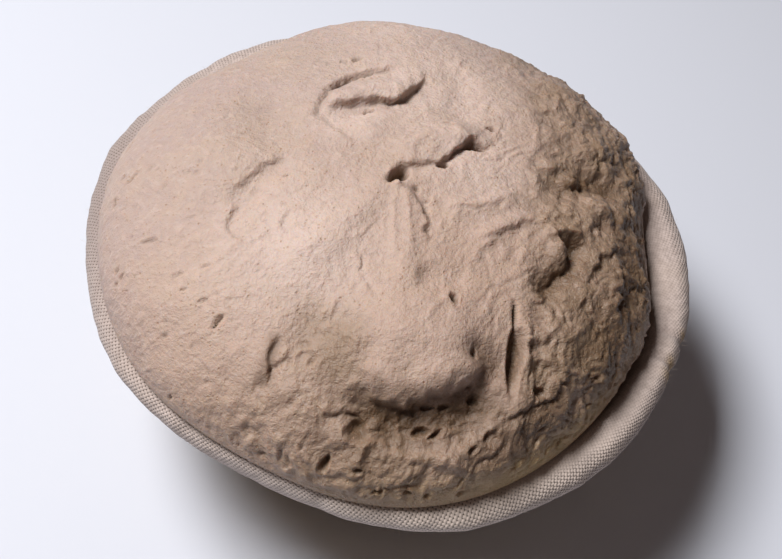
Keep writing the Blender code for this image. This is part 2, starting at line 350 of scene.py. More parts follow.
def linenMaterial():
    material, shader, wire = newMaterial("linen")
    along = wire.make("ShaderNodeUVMap", {"uv_map": "along"})
    place = wire.make("ShaderNodeTexCoord", output=3)
    sway = wire.noise(place, 60.0, 2.0)
    slub = wire.noise(place, 420.0, 2.0)
    parts = wire.make("ShaderNodeSeparateXYZ", None, {0: along})
    u = parts + (sway - 0.5) * 1.6
    v = parts.other(1) + (slub - 0.5) * 0.35 + (sway - 0.5) * 1.0
    cellU = wire.calc("FLOOR", u)
    cellV = wire.calc("FLOOR", v)
    over = wire.calc("MODULO", wire.calc("ABSOLUTE", cellU + cellV), 2.0)
    acrossU = wire.calc("ABSOLUTE", u - cellU - 0.5) * 2.0
    acrossV = wire.calc("ABSOLUTE", v - cellV - 0.5) * 2.0
    warp = (1.0 - acrossU ** 2.2) * (1.0 - 0.45 * acrossV ** 2.0)
    weft = (1.0 - acrossV ** 2.2) * (1.0 - 0.45 * acrossU ** 2.0)
    thread = over * warp + (1.0 - over) * weft
    coarse = wire.attribute("coarse")
    hole = acrossU.step(0.46, 0.8) * acrossV.step(0.46, 0.8) * (0.2 + 0.8 * coarse)
    stain = wire.noise(place, 35.0, 4.0).step(0.5, 0.75)
    base = slub.step(0.3, 0.7).blend((0.45, 0.363, 0.328), (0.565, 0.463, 0.422))
    base = ((1.0 - thread.step(0.1, 0.6)) * 0.2).blend(base, (0.36, 0.275, 0.235))
    base = (stain * 0.25).blend(base, (0.50, 0.39, 0.31))
    # painted shade: the roll darker on the left
    base = wire.attribute("paintedShadeOnRoll").blend(base, (0.31, 0.25, 0.232))
    # painted light: the roll brighter at the lower right
    base = wire.attribute("paintedLightOnRoll").blend(base, (0.76, 0.64, 0.565))
    base = (wire.attribute("stained") * 0.8).blend(base, (0.50, 0.33, 0.14))
    base = (hole * 0.9).blend(base, (0.09, 0.06, 0.04))
    height = thread * (0.4 + 0.6 * coarse) + (slub - 0.5) * 0.3
    bump = wire.make("ShaderNodeBump", None, {"Strength": 0.7, "Distance": 0.45 * mm, "Height": height})
    feed(wire.tree, shader, Base_Color=base, Roughness=0.92, Normal=bump,
         Specular_IOR_Level=0.2, Sheen_Weight=0.2, Sheen_Roughness=0.6)
    return material


def slacken(radius, height, angle):
    # Moves the rows by noise on a ring that drifts from row to row, and by pinches across the
    # roll, depth exp(-(away / width)^2).
    order = np.arange(len(radius))
    start, full, ease, end = liner["looseRows"]
    loose = (smoothStep(start, full, order) * (1 - smoothStep(ease, end, order)))[:, None]
    rows = order[:, None] * mm
    ringX, ringY = liner["rollMiddle"] * np.cos(angle), liner["rollMiddle"] * np.sin(angle)
    wrinkle = 0.0
    for cell, driftX, driftY, size, seed in liner["wrinkles"]:
        placeX, placeY = ringX + rows * driftX, ringY + rows * driftY
        wrinkle = wrinkle + gradientNoise(placeX, placeY, cell * mm, seed) * size
    radius += wrinkle * mm * loose
    height += wrinkle * mm * loose * liner["wrinkleLift"]
    for bearing, depth, width in liner["pinches"]:
        crease = np.exp(-((turnAway(angle, bearing) / width) ** 2)) * loose * depth * mm
        radius -= crease * liner["pinchIn"]
        height -= crease
    radius[-1] = 0.0


def weaveMap(item, line):
    # Places in threads along the two slanted ways of the weave. The turns are a multiple of four,
    # so the weave closes on itself, and a face over the seam counts on to a full turn.
    count = liner["around"]
    pitch = liner["thread"] * np.hypot(1.0, liner["slant"])
    turns = round(2 * pi * liner["rollMiddle"] / pitch / 4) * 4
    corners = cornerPoints(item)
    totals = np.zeros(len(item.data.polygons), np.int32)
    item.data.polygons.foreach_get("loop_total", totals)
    owner = np.repeat(np.arange(len(totals)), totals)
    column = np.where(corners < len(line) * count, corners % count, 0).astype(float)
    lastColumn = np.zeros(len(totals))
    np.maximum.at(lastColumn, owner, column)
    column = np.where((column == 0) & (lastColumn[owner] == count - 1), count, column)
    around = column / count * turns
    down = line[np.minimum(corners // count, len(line) - 1)] / pitch
    slant = liner["slant"]
    alongMap(item, np.stack([around + slant * down, down - slant * around], axis=-1))


def makeLiner():
    angle = np.arange(liner["around"]) * 2 * pi / liner["around"]
    shown = linerFace(0.0, angle)
    hidden = linerFace(liner["thickness"], angle, fine=False)
    radius = np.array([row[0] for row in shown])
    height = np.array([row[1] for row in shown])
    slacken(radius, height, angle)
    front = ringPlaces(radius, angle, height)[:-1]
    back = np.array([ringPlaces(r, angle, z) for r, z in hidden[:-1]])
    grid = np.concatenate([front[::-1], back])
    rowsAll, count = grid.shape[:2]
    index = np.arange(rowsAll * count).reshape(rowsAll, count)
    ahead = np.roll(index, -1, axis=1)
    top = rowsAll * count
    bottom = top + 1
    faces = bandQuads(index)[:, ::-1].tolist()
    faces += list(zip(index[0].tolist(), ahead[0].tolist(), [top] * count))
    faces += list(zip(ahead[-1].tolist(), index[-1].tolist(), [bottom] * count))
    poles = np.array([[0, 0, shown[-1][1][0]], [0, 0, hidden[-1][1][0]]])
    places = grid.reshape(-1, 3)
    item = meshObject("liner_cloth", np.vstack([places, poles]), faces, linenMaterial())
    meanRadius = np.linalg.norm(grid[:, :, :2], axis=-1).mean(axis=1)
    weaveMap(item, lineLength(meanRadius, grid[:, :, 2].mean(axis=1)))
    # real finishes and painted light and shade, with nothing on the two poles
    inner = liner["flourTo"] - np.hypot(places[:, 0], places[:, 1])
    stained = np.zeros(len(places))
    for bearing, reachOut, size in liner["stains"]:
        stainX, stainY = reachOut * mm * cos(radians(bearing)), reachOut * mm * sin(radians(bearing))
        away = np.hypot(places[:, 0] - stainX, places[:, 1] - stainY)
        stained = np.maximum(stained, np.exp(-((away / (size * mm)) ** 2)))
    bearings = np.arctan2(places[:, 1], places[:, 0])
    finishesAndPaintedLight = {
        "paintedShadeOnRoll": bulges(bearings, liner["paintedShadeOnRoll"]) / mm,
        "paintedLightOnRoll": bulges(bearings, liner["paintedLightOnRoll"]) / mm,
        "coarse": 1 - smoothStep(0.0, liner["flourEase"], inner),
        "stained": stained * (places[:, 2] > liner["stainFrom"]),
    }
    for name, values in finishesAndPaintedLight.items():
        pointValue(item, name, np.append(values, [0.0, 0.0]))
    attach(item, "root")
    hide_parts("liner")
    return item, shown


# Loose fibres on the cloth's roll

fuzz = {
    "count": 1500,
    "length": (0.8, 2.6),       # millimetres
    "thick": 0.035 * mm,
    "lift": (0.15, 0.9),        # share of the length that stands off the cloth
    "joints": 5,
    "sides": 3,
    "sink": 0.1 * mm,           # how far the root sits in the cloth
    "curl": 0.35,               # spread of the bend, a share of the length
    "droop": 0.2,
    "taper": 0.7,
    "across": (0.3, 0.5, 0.8),  # a way that few fibres run
    "firstPart": 3,             # the lowest third of the rows up to the crest stays bare
    "pastCrest": 3,             # rows
    "seed": 71,
}


def makeFuzz(material, rows):
    # Each fibre runs from a place on the roll along a lean between the way round the rim and the
    # outward way, p(t) = start + length (t lean + t^2 curl), as a three-sided tapered thread.
    draw = np.random.default_rng(fuzz["seed"])
    count, joints = fuzz["count"], fuzz["joints"]
    radius = np.array([row[0] for row in rows])
    height = np.array([row[1] for row in rows])
    crest = int(np.argmax(height[:, 0]))
    row = draw.integers(crest // fuzz["firstPart"], crest + fuzz["pastCrest"], count)
    column = draw.integers(0, liner["around"], count)
    turn = column * 2 * pi / liner["around"]
    outR, outZ = np.gradient(radius, axis=0)[row, column], np.gradient(height, axis=0)[row, column]
    size = np.hypot(outR, outZ)
    outward = ringPlaces(outZ / size, turn, -outR / size)
    around = np.stack([-np.sin(turn), np.cos(turn), np.zeros(count)], axis=-1)
    start = ringPlaces(radius[row, column], turn, height[row, column]) - fuzz["sink"] * outward
    length = draw.uniform(*fuzz["length"], count)[:, None, None] * mm
    lift = draw.uniform(*fuzz["lift"], count)[:, None]
    lean = around * draw.choice([-1.0, 1.0], count)[:, None] * (1 - lift) + outward * lift
    curl = draw.normal(0.0, fuzz["curl"], (count, 3)) - outward * fuzz["droop"]
    t = np.linspace(0.0, 1.0, joints)[None, :, None]
    line = start[:, None] + length * (t * lean[:, None] + t ** 2 * curl[:, None])
    thick = fuzz["thick"] * (1 - fuzz["taper"] * t[..., 0])
    tube = tubeGrid(line, fuzz["across"], thick, fuzz["sides"])
    index = np.arange(tube.size // 3).reshape(tube.shape[:3])
    faces = bandQuads(index).tolist() + index[:, 0, ::-1].tolist() + index[:, -1].tolist()
    item = meshObject("linen_fuzz", tube.reshape(-1, 3), faces, material)
    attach(item, "root")
    return item


def fibreMaterial():
    material, shader, wire = newMaterial("fibre")
    tint = wire.noise(wire.make("ShaderNodeTexCoord", output=3), 90.0, 2.0)
    base = tint.step(0.4, 0.6).blend((0.62, 0.52, 0.46), (0.80, 0.70, 0.63))
    feed(wire.tree, shader, Base_Color=base, Roughness=0.9, Specular_IOR_Level=0.2)
    return material


# Dough

dough = {
    "level": 88.0 * mm,         # height of the widest line
    "rise": 44.0 * mm,
    "power": 2.2,
    "reach": 105.7 * mm,        # mean radius, for lengths along the skin
    "leastReach": 102.0 * mm,
    # where the dough spreads further: bearing in degrees, bulge, width in degrees
    "bulges": ((45, 5.0, 17), (106, 2.0, 16), (141, -3.6, 15), (190, 6.5, 26),
               (230, 10.0, 28), (280, 11.0, 30), (352, -4.5, 30), (14, -3.2, 14)),
    "tuck": 1.6 * mm,           # how far the edge rolls in under the widest line
    "bare": 2.6 * mm,           # outer part of the cloth's roll that the dough leaves bare
    "gap": 0.55 * mm,
    "grid": 284,                # cells along a side of the skin's grid
    "lean": (0.06, -0.14),      # draws the grid's finer cells to the front right
    # where the cells are gathered: x, y and size as shares of the skin, and pull
    "finer": ((-0.06, 0.10, 0.34, 0.42),),
    "stepIn": 0.4 * mm,
    "tuckParts": (0.2, 0.45, 0.7, 0.9, 1.0),    # rows of the tucked edge, shares of a quarter turn
    "hiddenEvery": 6,           # every sixth row of the liner carries a row of the hidden side
    "fade": 5.0 * mm,           # the relief dies out this near to the widest line
    # painted golden glow near the edge, as of light through the dough in shade: where it starts and is
    # full, from the widest line; bearing and width in degrees; how far it calms the crags; its strength
    # on the hidden side
    "goldFrom": 17.0 * mm,
    "goldFull": 5.0 * mm,
    "goldBearing": -52.0,
    "goldWidth": 26.0,
    "goldCalm": 0.65,
    "goldUnder": 0.3,
    # small pits: count, seed, sizes in millimetres, depth as a share of the size
    "craggyPits": (120, 51, (0.5, 1.5), 0.9),
    "evenPits": (190, 52, (0.35, 0.8), 0.5),
    "leftPits": (70, 53, (0.7, 1.5), 0.5),
    "evenShare": 0.35,          # share of the tries for an even pit that are kept
    # painted light, brighter spots on the skin: x, y and size in millimetres along the skin, strength
    "paintedLightSpots": ((-30, -44, 28, 1.0), (-4, 42, 35, 0.95), (-20, 84, 30, 0.95), (12, -66, 16, 0.2),
             (-27, 14, 14, 1.0), (21, 4, 23, 0.8)),
}

# Folds of the skin, in millimetres along the skin from the top: x right, y away from the front.
# A flap on the left of the line stands over a floor on its right:
# flap height, flap width, floor depth, floor width, overhang, raggedness
folds = {
    "curledFoldTop": (((-41, 10), (-42, 20), (-41, 29), (-36, 37), (-29, 41.5), (-22, 45), (-16, 47)),
                      0.8, 4.0, 4.8, 2.7, 1.4, 0.3),
    "curledFoldSecond": (((-37, 30), (-33, 35), (-27, 37.5), (-20, 39)), 0.5, 2.0, 1.2, 1.6, 0.3, 0.2),
    "curledFoldFoot": (((-22, -1), (-29, 3.5), (-35, 7.5), (-39, 12)), 0.7, 6.0, 0.8, 3.4, 0.1, 0.4),
    "curledFoldLip": (((-38, 16.5), (-33, 20.5), (-26, 25), (-20, 27), (-15, 27.5), (-11, 31), (-8, 38),
                       (-5, 44)), 1.3, 4.0, 2.9, 7.0, 2.8, 0.6),
    "curledFoldTag": (((-17, 26.5), (-14.5, 26.5), (-12.5, 29)), 0.4, 1.4, 0.6, 1.4, 1.2, 0.2),
    "mainTearLip": (((-8, -11), (-4.5, -5.5), (1, -2.5), (8.5, 0.5)), 0.8, 6.0, 2.4, 3.0, 1.1, 0.4),
    "mainTearTag": (((7, -1), (10.5, 5), (13.5, 11.5), (17, 15), (24, 13.5)),
                    1.8, 5.0, 3.0, 3.0, 2.3, 0.9),
    "crescentTop": (((-9.5, -50), (-9.5, -46), (-12, -43.5)), 0.6, 1.8, 1.5, 1.4, 0.6, 0.2),
    "crescentCrease": (((-2.5, -58), (-6, -54), (-8.5, -51)), 0.5, 2.6, 0.9, 1.6, 0.3, 0.2),
    "longTearBank": (((54, -75), (53.5, -64), (51, -54), (50, -46)), 0.5, 3.0, 0.6, 2.6, 0.1, 0.9),
    "frontGroove": (((-28.5, -91), (-30.5, -83), (-29.5, -76)), 1.0, 3.5, 2.4, 2.4, 0.7, 0.5),
    "frontBranch": (((-30, -87), (-27, -83.5), (-23, -81.5)), 0.6, 2.4, 1.4, 2.2, 0.5, 0.4),
    "sideCrease": (((-46, -46.5), (-51, -45.5), (-54, -42.5), (-54.5, -38), (-53.5, -33)),
                   1.0, 3.4, 1.7, 2.4, 0.6, 0.35),
    "sideFold": (((-57, -30), (-53, -23), (-49, -16), (-44, -11)), 0.8, 8.0, 1.1, 6.0, 0.3, 1.2),
    "leftCrease": (((-35.5, -41), (-37, -37), (-36, -32)), 0.6, 2.6, 1.1, 2.2, 0.3, 0.3),
    "fanEdge": (((9, -34), (7.5, -26), (4, -20), (-1, -15.5)), 1.0, 4.0, 1.5, 3.2, 0.2, 0.4),
    "recessUpper": (((55, 3), (61, 12), (67, 18), (76, 20)), 1.1, 5.0, 1.2, 6.0, 0.4, 1.8),
    "recessLower": (((54, -41), (58, -34), (63, -26), (65, -14)), 1.0, 5.0, 1.4, 5.0, 0.3, 1.8),
    "ledgeEdge": (((53, -18), (60, -14), (69, -11)), 0.9, 2.4, 1.2, 3.6, 0.3, 1.0),
    "pillowLip": (((0, -83), (4, -86), (11, -86.5), (17, -85), (22, -80.5), (28, -78), (34, -74),
                   (36, -69)), 1.1, 6.0, 3.9, 7.5, 1.2, 1.7),
    "hollowLip": (((40, -92), (33, -97), (24, -101), (15, -101.5), (7, -100)),
                  0.7, 3.0, 1.6, 4.0, 0.3, 1.6),
    "smallShelf": (((50, -46), (56, -42.5), (61, -37)), 0.8, 3.2, 1.1, 3.4, 0.2, 1.2),
    "cheekFold": (((10, -16), (17, -17.5), (27, -15.5), (36, -8)), 0.7, 3.0, 0.7, 3.4, 0.2, 1.2),
    "cheekFoldTwo": (((29, -27), (37, -22), (45, -15), (53, -12)), 0.8, 3.4, 0.8, 3.6, 0.2, 1.4),
    "frontShelf": (((-10, -96), (-3, -93), (5, -95), (9, -99)), 1.0, 2.6, 1.8, 3.0, 0.8, 1.0),
    "flankShelf": (((49, -83), (57, -79), (66, -72), (71, -63)), 1.0, 3.6, 1.4, 4.4, 0.6, 1.2),
    "crownCrease": (((19, 9), (25, 8.5), (31, 11)), 0.5, 2.2, 0.8, 1.8, 0.4, 0.5),
    "rightFold": (((72, -30), (77, -18), (86, -4)), 1.0, 4.4, 1.5, 5.5, 0.2, 1.8),
}

# Holes and pits: x, y, half length, half width, turn in degrees, depth, rim
holes = {
    "tearHole": (-4.8, -9.6, 3.9, 2.7, 62, 6.4, 0.0),
    "tearGap": (18.6, 12.4, 4.4, 2.0, 12, 4.6, 0.0),
    "tearSlot": (10.0, -0.6, 2.6, 1.1, 38, 3.0, 0.0),
    "longTearThin": (44.5, -52.5, 5.4, 0.9, 96, 2.6, 0.25),
    "longTearWide": (47.4, -65.0, 7.8, 3.1, 97, 5.2, 0.15),
    "cavityHole": (27.5, -84.5, 1.9, 1.1, 10, 1.6, 0.2),
    "craterHole": (-23.0, 20.0, 2.4, 1.0, 20, 2.2, 0.3),
    "lobeHole": (23.0, 23.0, 1.9, 1.3, 10, 2.2, 0.5),
    "lobeDent": (8.0, 19.0, 2.0, 0.9, 5, 1.4, 0.3),
    "slitOne": (-38.0, 48.0, 1.5, 0.8, 10, 1.4, 0.2),
    "slitTwo": (-33.0, 50.0, 2.6, 1.1, 25, 1.8, 0.2),
    "strandHoleOne": (2.0, -14.0, 1.3, 0.9, 0, 1.6, 0.3),
    "strandHoleTwo": (6.0, -17.5, 1.1, 0.6, 0, 1.2, 0.3),
    "strandHoleThree": (6.8, -22.5, 1.5, 0.8, 10, 1.6, 0.4),
    "strandHoleFour": (8.0, -29.0, 1.2, 1.6, 0, 1.4, 0.3),
    "triangleHole": (21.5, -51.5, 1.9, 1.4, -35, 3.0, 0.5),
    "deepPit": (31.5, -67.5, 1.3, 1.2, 0, 2.0, 0.4),
    "shallowRing": (52.5, -60.5, 2.2, 1.8, 60, 1.0, 0.5),
    "rightHole": (60.0, -73.5, 2.4, 1.6, 10, 2.6, 0.3),
    "frontRing": (2.0, -99.0, 3.6, 2.8, 20, 2.2, 0.6),
    "frontPit": (-5.5, -112.0, 2.6, 1.6, 80, 2.6, 0.5),
    "ringRight": (46.0, -91.0, 2.6, 2.1, 50, 1.9, 0.35),
    "ringRightTwo": (40.0, -96.0, 1.6, 1.1, 20, 1.4, 0.5),
    "rimPitOne": (24.0, -114.5, 1.4, 0.9, 0, 1.5, 0.4),
    "rimPitTwo": (14.0, -116.5, 1.6, 0.9, 10, 1.4, 0.4),
    "hollowHole": (22.4, -94.2, 2.6, 1.6, 35, 2.4, 0.4),
    "hollowPit": (27.4, -93.8, 2.6, 1.0, 40, 1.8, 0.4),
    "roofPitOne": (16.3, -85.5, 1.8, 1.1, -10, 1.8, 0.2),
    "roofPitTwo": (22.1, -85.9, 1.9, 0.9, 5, 1.6, 0.2),
    "roofPitThree": (36.8, -80.7, 2.0, 1.5, 0, 2.6, 0.2),
    "roofPitFour": (33.4, -76.8, 1.1, 0.8, 0, 1.4, 0.2),
    "leftSlitOne": (-102.0, -32.0, 2.4, 0.8, 80, 1.5, 0.2),
    "leftSlitTwo": (-96.0, -23.0, 3.2, 0.7, 55, 1.5, 0.3),
    "leftPitOne": (-102.0, -21.0, 1.4, 0.8, 30, 1.2, 0.2),
    "leftPitTwo": (-91.0, -59.0, 1.2, 0.8, 50, 1.3, 0.2),
    "leftPitThree": (-88.0, -61.5, 1.5, 0.8, 70, 1.3, 0.2),
    "leftPitFour": (-90.5, -63.5, 1.1, 0.7, 60, 1.1, 0.2),
    "leftDent": (-80.0, -49.0, 2.8, 1.0, 15, 1.0, 0.4),
    "slotLeft": (-48.0, -74.0, 2.6, 0.8, 60, 2.0, 0.5),
    "slitLeftA": (-56.5, -56.5, 2.0, 0.5, 30, 0.9, 0.2),
    "slitLeftB": (-65.0, -60.5, 2.0, 0.5, 30, 0.8, 0.2),
    "slitLeftC": (-54.0, -68.0, 1.4, 0.6, 40, 1.0, 0.3),
    "slitLeftD": (-61.5, -65.0, 1.1, 0.6, 20, 0.9, 0.3),
    "slitTopA": (-92.0, 10.0, 1.0, 0.5, 60, 0.8, 0.1),
    "slitTopB": (-75.5, 13.0, 1.4, 0.4, 15, 0.8, 0.1),
    "slitMidA": (-60.5, -3.0, 1.5, 0.45, 10, 0.9, 0.2),
    "slitMidB": (-59.5, -6.0, 1.5, 0.45, 5, 0.8, 0.2),
    "slitMidC": (-40.0, -19.0, 1.6, 0.6, 20, 1.1, 0.4),
    "slitTopC": (-86.0, -20.5, 0.9, 0.6, 40, 0.8, 0.1),
}

# Broad swellings and hollows: line, width, height
forms = {
    "tongue": (((-36, 22), (-30, 27), (-22, 32), (-15, 33)), 5.0, 2.4),
    "tongueRoot": (((-12, 38), (-8, 46)), 4.0, 0.8),
    "crater": (((-34, 13), (-26, 17)), 5.5, -1.6),
    "craterBump": (((-20, 8), (-17, 6)), 4.0, 1.2),
    "lobe": (((-4, 4), (3, 9), (11, 16)), 6.5, 3.0),
    "fanRidge": (((-8, -17), (-15, -31), (-26, -46)), 8.0, 2.4),
    "fanValley": (((-6, -20), (-9, -34)), 4.0, -0.7),
    "strand": (((0, -17), (2, -30), (4, -44)), 4.0, 1.3),
    "strandFin": (((-8.2, -9), (-6.6, -13), (-3.6, -15.5)), 0.9, 1.5),
    "strandLineOne": (((-5, -14), (-4, -24), (0, -40)), 1.1, 0.5),
    "strandLineTwo": (((-2, -15), (1, -24), (5, -38)), 1.0, 0.5),
    "pinkRidge": (((17, -18), (27, -16), (36, -8)), 3.6, 1.3),
    "pinkRidgeTwo": (((30, -26), (43, -15), (52, -12)), 3.6, 1.4),
    "crest": (((27, 36), (36, 40)), 4.0, 1.0),
    "sideSwelling": (((-66, -10), (-68, -16)), 14.0, 2.6),
    "sideHollow": (((-43, -14), (-47, -21), (-51, -30)), 5.5, -1.5),
    "sideDip": (((-60, 14), (-54, 2)), 10.0, -2.5),
    "crownDip": (((8, 50), (11, 38), (11, 28)), 8.0, -2.0),
    "softHollow": (((-42, 4), (-46, -2)), 9.0, -1.0),
    "shallowDent": (((11, -46), (20, -45)), 4.6, -1.7),
    "dentRim": (((8, -43), (8, -48)), 2.2, 0.8),
    "pillow": (((7, -66), (20, -67)), 15.0, 5.2),
    "pillowEdge": (((3, -80), (14, -81), (22, -77), (31, -72)), 3.6, 1.3),
    "pillowHollow": (((5, -94), (16, -94), (27, -90), (38, -84)), 8.0, -5.2),
    "midRecess": (((33, -66), (41, -69)), 4.0, -2.6),
    "tearWall": (((50, -56), (51, -66)), 3.4, 1.6),
    "sideRecess": (((66, 23), (79, 25)), 8.0, -4.4),
    "sideRecessLow": (((55, 8), (61, 12)), 4.6, -2.6),
    "longRecess": (((66, -18), (64, -27), (57, -37)), 5.4, -4.2),
    "recessLump": (((60, -21), (61, -24)), 3.2, 2.6),
    "ledge": (((56, -16), (66, -11)), 3.0, 2.0),
    "rightLump": (((75, 8), (79, 10)), 5.0, 2.2),
    "rightRidge": (((84, -6), (88, -20), (88, -34)), 4.0, 1.8),
    "flankDent": (((103, 12), (105, 18)), 16.0, -4.0),
    "shoulder": (((74, 66), (92, 44)), 15.0, -2.2),
    "leftHollow": (((-72, -82), (-66, -84)), 8.0, -1.0),
}

# Painted shade, a deep brown, where the skin has torn open or sunk and on the shaded flanks: line,
# width, strength
paintedShadePatches = {
    "underPillow": (((7, -92), (16, -92), (27, -88.5), (38, -82)), 8.6, 1.0),
    "besidePillow": (((33, -67), (41, -70)), 4.0, 0.8),
    "rightRecess": (((62, 13), (70, 22), (80, 26)), 6.0, 0.9),
    "longRecess": (((66, -17), (64, -27), (57, -38)), 5.5, 0.95),
    "rightFlank": (((92, 8), (95, -20), (88, -48)), 13.0, 0.75),
    "frontFlank": (((66, -76), (56, -88), (44, -96)), 8.0, 0.7),
    "frontLeft": (((-10, -104), (0, -106), (12, -104)), 6.0, 0.4),
    "groove": (((-30, -90), (-29.5, -78)), 2.6, 0.7),
}


def reach(angle):
    return dough["leastReach"] + bulges(angle, dough["bulges"])


def doughEdge(angle):
    # Where the dough meets the roll: radius, and height on the roll's upper ellipse plus a gap.
    width = liner["rollOuter"] + bulges(angle, liner["waves"])
    edge = np.minimum(reach(angle) - dough["tuck"], liner["rollMiddle"] + width - dough["bare"])
    share = np.clip((edge - liner["rollMiddle"]) / width, 0.0, 1.0)
    return edge, bowl["rimHeight"] + liner["face"] * np.sqrt(1 - share ** 2) + dough["gap"]


def domeLine():
    # The dome's own curve: r = R sin(t)^(2/p), z = rise cos(t)^(2/p), with its length.
    turn = np.linspace(0.0, pi / 2, 1200)
    radius = dough["reach"] * np.sin(turn) ** (2 / dough["power"])
    height = dough["rise"] * np.cos(turn) ** (2 / dough["power"])
    return turn, lineLength(radius, height)


def domePlace(x, y):
    # Place on the smooth dome of a point at (x, y) along the skin from the top.
    angle = np.arctan2(y, x)
    turns, lengths = domeLine()
    turn = np.interp(np.hypot(x, y), lengths, turns)
    radius = reach(angle) * np.sin(turn) ** (2 / dough["power"])
    height = dough["level"] + dough["rise"] * np.cos(turn) ** (2 / dough["power"])
    return ringPlaces(radius, angle, height)


def domeNormal(x, y):
    step = 0.3 * mm
    across = domePlace(x + step, y) - domePlace(x - step, y)
    away = domePlace(x, y + step) - domePlace(x, y - step)
    return unitLength(np.cross(across, away))


def lineField(x, y, points):
    # Signed distance to a smooth line, left positive, its share along, and the way across it.
    line = smoothLine(points, 1.2) * mm
    best = np.full_like(x, 1e9)
    signed, share = np.zeros_like(x), np.zeros_like(x)
    wayX, wayY = np.zeros_like(x), np.zeros_like(x)
    length = lineLength(line[:, 0], line[:, 1])
    for order, ((x0, y0), (x1, y1)) in enumerate(zip(line, line[1:])):
        dx, dy = x1 - x0, y1 - y0
        span = np.hypot(dx, dy)
        t = np.clip(((x - x0) * dx + (y - y0) * dy) / span ** 2, 0, 1)
        away = np.hypot(x - x0 - t * dx, y - y0 - t * dy)
        side = np.sign((y - y0) * dx - (x - x0) * dy)
        near = away < best
        best[near] = away[near]
        signed[near] = (away * side)[near]
        share[near] = ((length[order] + t * span) / length[-1])[near]
        wayX[near], wayY[near] = -dy / span, dx / span
    return signed, share, wayX, wayY


class Skin:
    # The dough's skin: places along it, height over the dome, and how far each point slides.
    def __init__(self, x, y):
        self.x, self.y = x, y
        self.height = np.zeros_like(x)
        self.slideX, self.slideY = np.zeros_like(x), np.zeros_like(x)
        self.paintedTearShade = np.zeros_like(x)        # 1 inside a tear and on the wall under a flap: painted shade

    def near(self, points, margin):
        points = np.array(points, float) * mm
        low, high = points.min(axis=0) - margin * mm, points.max(axis=0) + margin * mm
        return (self.x > low[0]) & (self.x < high[0]) & (self.y > low[1]) & (self.y < high[1])

    def form(self, points, width, height):
        # height exp(-(d/width)^2) about a line
        at = self.near(points, width * 3)
        away = lineField(self.x[at], self.y[at], points)[0]
        self.height[at] += height * mm * np.exp(-((away / (width * mm)) ** 2))

    def fold(self, points, lip, lipWidth, depth, floorWidth, overhang, ragged):
        # At the signed distance d, flap side positive: lip exp(-(d/w)^2) above the edge and
        # -depth exp(-(d/f)^2) below it, with a rounded wall between that is wider where the drop
        # is deeper. Both sides slide towards the edge, so the flap hangs over.
        at = self.near(points, 3 * max(floorWidth, lipWidth))
        x, y = self.x[at], self.y[at]
        away, share, wayX, wayY = lineField(x, y, points)
        torn = gradientNoise(x, y, 4.2 * mm, 61) + 0.3 * gradientNoise(x, y, 1.9 * mm, 62)
        d = away / mm + ragged * torn
        ends = (4 * share * (1 - share)) ** 0.45
        ends = ends * (0.8 + 0.35 * gradientNoise(x, y, 6 * mm, 63))
        wall = min(0.8 + 0.5 * (lip + depth), 0.85 * floorWidth)
        over = smoothStep(-0.75 * wall, 0.3 * wall, d)
        flap = lip * np.exp(-((d / lipWidth) ** 2))
        floor = -depth * np.exp(-((d / floorWidth) ** 2))
        self.height[at] += (over * flap + (1 - over) * floor) * ends * mm
        # painted shade on the wall under the flap
        shade = min(1.0, depth / 4.5) * 0.4 * ends * np.exp(-(((d / wall + 0.5) / 0.7) ** 2))
        self.paintedTearShade[at] = np.maximum(self.paintedTearShade[at], shade)
        lean = over * overhang * np.exp(-((d / (0.6 * lipWidth)) ** 2))
        under = (1 - over) * 0.4 * overhang * np.exp(-((d / 1.4) ** 2))
        self.slideX[at] -= wayX * (lean - under) * ends * mm
        self.slideY[at] -= wayY * (lean - under) * ends * mm

    def hole(self, x, y, long, wide, degrees, depth, rim):
        # A bowl -depth exp(-t^4) with a thin rim at t = 1.3; t is the share of an ellipse's
        # radius, made uneven by two slow waves round it.
        at = self.near([(x, y)], long * 3)
        turn = radians(degrees)
        dx, dy = self.x[at] / mm - x, self.y[at] / mm - y
        u, v = (dx * cos(turn) + dy * sin(turn)) / long, (dy * cos(turn) - dx * sin(turn)) / wide
        bearing = np.arctan2(v, u)
        waves = 0.14 * np.sin(2 * bearing + 7 * x) + 0.1 * np.sin(3 * bearing + 5 * y)
        t = np.hypot(u, v) * (1 + waves)
        self.height[at] += (rim * np.exp(-(((t - 1.3) / 0.25) ** 2)) - depth * np.exp(-t ** 4)) * mm
        # painted shade inside the hole
        self.paintedTearShade[at] = np.maximum(self.paintedTearShade[at], min(1.0, depth / 2.5) * np.exp(-t ** 4))


def cragAt(x, y):
    # 1 on the craggy right and front of the skin and in a patch beside the front pillow.
    right = smoothStep(38 * mm, 64 * mm, x + 0.3 * np.maximum(y, 0))
    right = right * (1 - 0.5 * smoothStep(48 * mm, 84 * mm, y))
    front = smoothStep(78 * mm, 94 * mm, 0.1 * x - y) * (0.15 + 0.6 * smoothStep(-54 * mm, -22 * mm, x))
    patch = np.exp(-(((x + 13 * mm) / (15 * mm)) ** 4) - ((y + 76 * mm) / (14 * mm)) ** 4)
    pillow = np.exp(-(((x - 13 * mm) / (13 * mm)) ** 4) - ((y + 68 * mm) / (13 * mm)) ** 4)
    return np.clip(np.maximum(np.maximum(right, front), 0.8 * patch) - pillow, 0.0, 1.0)


def wrinkleAt(x, y):
    # 1 on the lightly wrinkled right half, 0.5 elsewhere.
    rightHalf = smoothStep(-4 * mm, 34 * mm, x) * smoothStep(-62 * mm, -34 * mm, y)
    return 0.5 + 0.5 * np.maximum(rightHalf, cragAt(x, y))


def soften(value, ease):
    # |value| with its crease rounded: sqrt(value^2 + ease^2).
    return np.sqrt(value ** 2 + ease ** 2)


